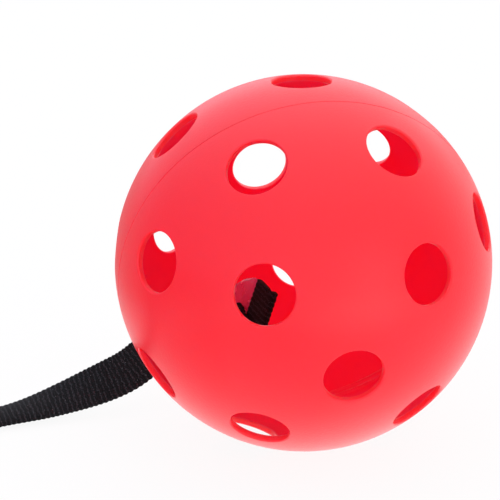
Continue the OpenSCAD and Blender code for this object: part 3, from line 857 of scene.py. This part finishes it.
def true_normals(shell, holes):
    mesh = shell.data
    axes = np.array(holes)
    spots = values_of(mesh.vertices, "co", 3) / MM
    soft = values_of(mesh.vertices, "normal", 3)
    flat = values_of(mesh.polygons, "normal", 3)
    middles = values_of(mesh.polygons, "center", 3) / MM
    totals = values_of(mesh.polygons, "loop_total", kind=np.int32)
    point_of = values_of(mesh.loops, "vertex_index", kind=np.int32)
    face_of = np.repeat(np.arange(len(totals)), totals)
    nearest = np.argmax(unit(middles) @ axes.T, axis=1)
    gaps, normals = surfaces(middles, axes[nearest])
    fit = np.einsum("ijk,ik->ij", normals, flat) - GAP_COST * np.maximum(gaps - GAP_ALLOWED, 0)
    best = np.argmax(fit, axis=1)
    known = np.max(fit, axis=1) > SURE
    high, far = middles[:, 2], np.linalg.norm(middles, axis=1)
    welded = (np.abs(high) < WELD_REACH + WELD_MARGIN) & (far < INNER_R + WELD_OVER)
    _, at_corners = surfaces(spots[point_of], axes[nearest[face_of]])
    chosen = at_corners[np.arange(len(face_of)), best[face_of]]
    chosen = np.where(known[face_of][:, None], chosen, flat[face_of])
    chosen = np.where(welded[face_of][:, None], soft[point_of], chosen)
    mesh.shade_smooth()
    turned = unit(chosen) @ ball_turn.T
    mesh.vertices.foreach_set("co", ((spots @ ball_turn.T + BALL_CENTRE) * MM).ravel())
    mesh.update()
    mesh.normals_split_custom_set(turned.tolist())
    bore, bevel = known & (best == BORE), known & (best == BEVEL)
    beaded = welded & (high > BEADS[0] - BEAD_HALF) & (high < BEADS[1] + BEAD_HALF)
    # paleness holds the painted reflection on the hole walls and the painted highlight on the bevels.
    shaped_by = {
        "core_side": welded | bevel | (known & (best == INSIDE)),
        "paleness": bore * BORE_PAINTED_REFLECTION + bevel * BEVEL_PAINTED_HIGHLIGHT,
        "pin_side": np.where(beaded, BEAD_POLISH, bore | bevel)}
    for label, values in shaped_by.items():
        marks = mesh.attributes.new(label, "FLOAT", "FACE")
        marks.data.foreach_set("value", values.astype(np.float32))
    print(shell.name, "faces with a known surface:", int(known.sum()), "of", len(known))


true_normals(shell, front_holes + rear_holes)

# %% [markdown]
# ## Floor and light
#
# The ball stands in a white tent: a white table and white all round, so that the light comes from
# everywhere. The tent is brightest overhead, behind, and low in front. It is dim at the back on the left, and
# the light from the left is cooler. The table is lit a little from below. The camera sees it as plain white
# with a faint shadow. In reflections the table is a painted glow: brightest close to the ball, with a few
# painted pools of light, a painted shadow behind the ball on the left, which leaves that rim of the ball
# red, and a painted shadow under the strap. One soft card in front on the right gives the broad highlight.

# %% Table as it is lit and as it is seen
FROM_BELOW, SEEN_LEVEL = 0.3, 0.92
white_table, tree = new_finish("white_table")
rays = add(tree, "ShaderNodeLightPath")
white = add(tree, "ShaderNodeBsdfDiffuse", links={"Color": linear("#f4f4f4")})
below = add(tree, "ShaderNodeEmission", links={"Color": linear("#ffffff"), "Strength": FROM_BELOW})
matt = add(tree, "ShaderNodeAddShader", links={0: white.outputs[0], 1: below.outputs[0]})
shaded = add(tree, "ShaderNodeBsdfDiffuse", links={"Color": linear("#484848")})
lit = add(tree, "ShaderNodeEmission", links={"Color": linear("#ffffff"), "Strength": SEEN_LEVEL})
seen = add(tree, "ShaderNodeAddShader", links={0: shaded.outputs[0], 1: lit.outputs[0]})
print("table seen at", SEEN_LEVEL, "with its shadow, lit from below at", FROM_BELOW)

# %% Table in reflections
# Painted light and shadow: in reflections the table glows, brighter near the ball and at a few places, darker
# behind the ball on the left and under the strap.
GLOW_NEAR, GLOW_FAR, PAINTED_SHADOW_LEFT = 1.3, 1.0, 0.52
BACK_LEFT_WAY = (-0.8, 0.6, 0)
# Places on the table in metres, each with the reach of its full and of its last light, and its strength:
# painted pools of light, and below zero a painted shadow under the strap
painted_light_and_shadow_places = [
    ((0.13, -0.16, 0), 0.04, 0.16, 0.95), ((0.24, -0.32, 0), 0.05, 0.26, 1.3),
    ((-0.16, -0.1, 0), 0.03, 0.1, 0.5), ((0, -0.45, 0), 0.15, 0.4, 0.55),
    ((-0.058, -0.012, 0), 0.012, 0.035, -0.3), ((0.016, -0.016, 0), 0.005, 0.025, 0.25)]
place = add(tree, "ShaderNodeTexCoord")
from_ball = add(tree, "ShaderNodeVectorMath", {"operation": "LENGTH"}, {0: place.outputs["Object"]})
to_back_left = add(tree, "ShaderNodeVectorMath", {"operation": "DOT_PRODUCT"}, {
    0: place.outputs["Object"], 1: BACK_LEFT_WAY})
fall_off = add(tree, "ShaderNodeMapRange", links={
    "Value": from_ball.outputs["Value"], "From Min": 0.05, "From Max": 0.11,
    "To Min": GLOW_NEAR, "To Max": GLOW_FAR})
painted_shadow_back_left = add(tree, "ShaderNodeMapRange", links={
    "Value": to_back_left.outputs["Value"], "From Min": 0.04, "From Max": 0.12,
    "To Min": 0.0, "To Max": PAINTED_SHADOW_LEFT})
glow_level = add(tree, "ShaderNodeMath", {"operation": "SUBTRACT"}, {
    0: fall_off.outputs["Result"], 1: painted_shadow_back_left.outputs["Result"]})
for spot, near, far, level in painted_light_and_shadow_places:
    apart = add(tree, "ShaderNodeVectorMath", {"operation": "DISTANCE"}, {
        0: place.outputs["Object"], 1: spot})
    brighter = add(tree, "ShaderNodeMapRange", links={
        "Value": apart.outputs["Value"], "From Min": near, "From Max": far, "To Min": level, "To Max": 0.0})
    glow_level = add(tree, "ShaderNodeMath", {"operation": "ADD"}, {
        0: glow_level.outputs[0], 1: brighter.outputs["Result"]})
painted_glow = add(tree, "ShaderNodeEmission", links={"Color": linear("#ffffff"), "Strength": glow_level.outputs[0]})
print("brighter or dimmer places on the table:", len(painted_light_and_shadow_places))

# %% Lay the table
TABLE_HALF = 2000
seen_white = add(tree, "ShaderNodeMath", {"operation": "MAXIMUM"}, {
    0: rays.outputs["Is Camera Ray"], 1: rays.outputs["Is Transmission Ray"]})
plain_mix = add(tree, "ShaderNodeMixShader", links={
    0: seen_white.outputs[0], 1: matt.outputs[0], 2: seen.outputs[0]})
table_mix = add(tree, "ShaderNodeMixShader", links={
    0: rays.outputs["Is Glossy Ray"], 1: plain_mix.outputs[0], 2: painted_glow.outputs[0]})
add(tree, "ShaderNodeOutputMaterial", links={"Surface": table_mix.outputs[0]})
table_corners = [(x * TABLE_HALF, y * TABLE_HALF, 0) for x, y in ((-1, -1), (1, -1), (1, 1), (-1, 1))]
table = new_piece("table_top", table_corners, [(0, 1, 2, 3)], white_table)
print("staged:", table.name)

# %% Sides of the tent
TENT_SIDE, TENT_RIGHT, TENT_ROOF, TENT_BACK = 0.75, 0.1, 0.75, 0.58
FRONT_LOW, FRONT_HIGH, BACK_LEFT = 0.7, -0.15, -1.1
tent = bpy.data.worlds.new("white_tent")
tent.use_nodes = True
tree = tent.node_tree
tree.nodes.clear()
direction = add(tree, "ShaderNodeTexCoord")
towards = add(tree, "ShaderNodeSeparateXYZ", links={"Vector": direction.outputs["Generated"]})
forwards = add(tree, "ShaderNodeMath", {"operation": "MULTIPLY"}, {0: towards.outputs["Y"], 1: -1.0})
front = add(tree, "ShaderNodeMath", {"operation": "MAXIMUM"}, {0: forwards.outputs[0], 1: 0.0})
back = add(tree, "ShaderNodeMath", {"operation": "MAXIMUM"}, {0: towards.outputs["Y"], 1: 0.0})
left = add(tree, "ShaderNodeMath", {"operation": "MINIMUM"}, {0: towards.outputs["X"], 1: 0.0})
far_left = add(tree, "ShaderNodeMath", {"operation": "MULTIPLY"}, {0: left.outputs[0], 1: left.outputs[0]})
back_left = add(tree, "ShaderNodeMath", {"operation": "MULTIPLY"}, {
    0: back.outputs[0], 1: far_left.outputs[0]})
roof = add(tree, "ShaderNodeMath", {"operation": "MULTIPLY"}, {
    0: towards.outputs["Z"], 1: towards.outputs["Z"]})
front_wall = add(tree, "ShaderNodeMapRange", links={
    "Value": towards.outputs["Z"], "From Max": 0.8, "To Min": FRONT_LOW, "To Max": FRONT_HIGH})
tent_light = add(tree, "ShaderNodeMath", {"operation": "MULTIPLY_ADD"}, {
    0: towards.outputs["X"], 1: TENT_RIGHT, 2: TENT_SIDE})
for side, strength in ((roof, TENT_ROOF), (back, TENT_BACK), (back_left, BACK_LEFT),
                       (front, front_wall.outputs["Result"])):
    tent_light = add(tree, "ShaderNodeMath", {"operation": "MULTIPLY_ADD"}, {
        0: side.outputs[0], 1: strength, 2: tent_light.outputs[0]})
print("tent light at the sides", TENT_SIDE, "and overhead", TENT_SIDE + TENT_ROOF)

# %% World
COOL, WARM = (0.98, 1.0, 1.2, 1.0), (1.0, 1.0, 0.95, 1.0)
rays = add(tree, "ShaderNodeLightPath")
seen_through = add(tree, "ShaderNodeMath", {"operation": "MAXIMUM"}, {
    0: rays.outputs["Is Camera Ray"], 1: rays.outputs["Is Transmission Ray"]})
white_level = add(tree, "ShaderNodeMix", {"data_type": "FLOAT"}, {
    "Factor": seen_through.outputs[0], "A": tent_light.outputs[0], "B": 1.0})
to_right = add(tree, "ShaderNodeMapRange", links={"Value": towards.outputs["X"], "From Min": -1.0})
tint = add(tree, "ShaderNodeMix", {"data_type": "RGBA"}, {
    "Factor": to_right.outputs["Result"], "A": COOL, "B": WARM})
seen_tint = add(tree, "ShaderNodeMix", {"data_type": "RGBA"}, {
    "Factor": seen_through.outputs[0], "A": tint.outputs["Result"], "B": linear("#ffffff")})
sky = add(tree, "ShaderNodeBackground", links={
    "Color": seen_tint.outputs["Result"], "Strength": white_level.outputs["Result"]})
add(tree, "ShaderNodeOutputWorld", links={"Surface": sky.outputs[0]})
scene.world = tent
print("world:", tent.name, "nodes:", len(tree.nodes))


# %% Lamp
def soft_lamp(name, place, aim, size, power):
    lamp = bpy.data.objects.new(name, bpy.data.lights.new(name, "AREA"))
    lamp.data.shape, lamp.data.size, lamp.data.energy = "DISK", size, power
    lamp.location = place
    lamp.rotation_euler = (Vector(place) - Vector(aim)).to_track_quat("Z", "Y").to_euler()
    scene.collection.objects.link(lamp)
    print("lamp:", name, "size", size, "power", power)


# Place, aim and size in metres, power in watts
soft_lamp("front_card", place=(0.6, -0.7, 0.1), aim=(0, 0, BALL_R * MM), size=0.5, power=0.4)
scene.view_settings.view_transform = "Standard"
scene.cycles.diffuse_bounces = 12

# %% [markdown]
# ## Join the pieces to the frame
#
# The shell turns with the ball. The strap, its knot and its loop stay with the tether. Each piece stands for
# the solids in its place.

# %% Ride and replace
pieces = [
    (shell, "ball", "shell", ["front_half_shell", "rear_half_shell", "weld_bead"]),
    (strap, "tether", "strap", ["strap_run", "strap_inner_run"]),
    (knot, "tether", "strap", ["strap_knot", "strap_tail"]),
    (hand_loop, "tether", "strap", ["hand_loop"]),
    (bar_tacks, "tether", "thread", ["loop_tack_front", "loop_tack_rear"]),
    (glue, "tether", "glue", ["knot_glue"])]
for piece, body, slot, nodes in pieces:
    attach(piece, body)
    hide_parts(*nodes)
    print(piece.name, "rides on", body, "in place of", nodes)
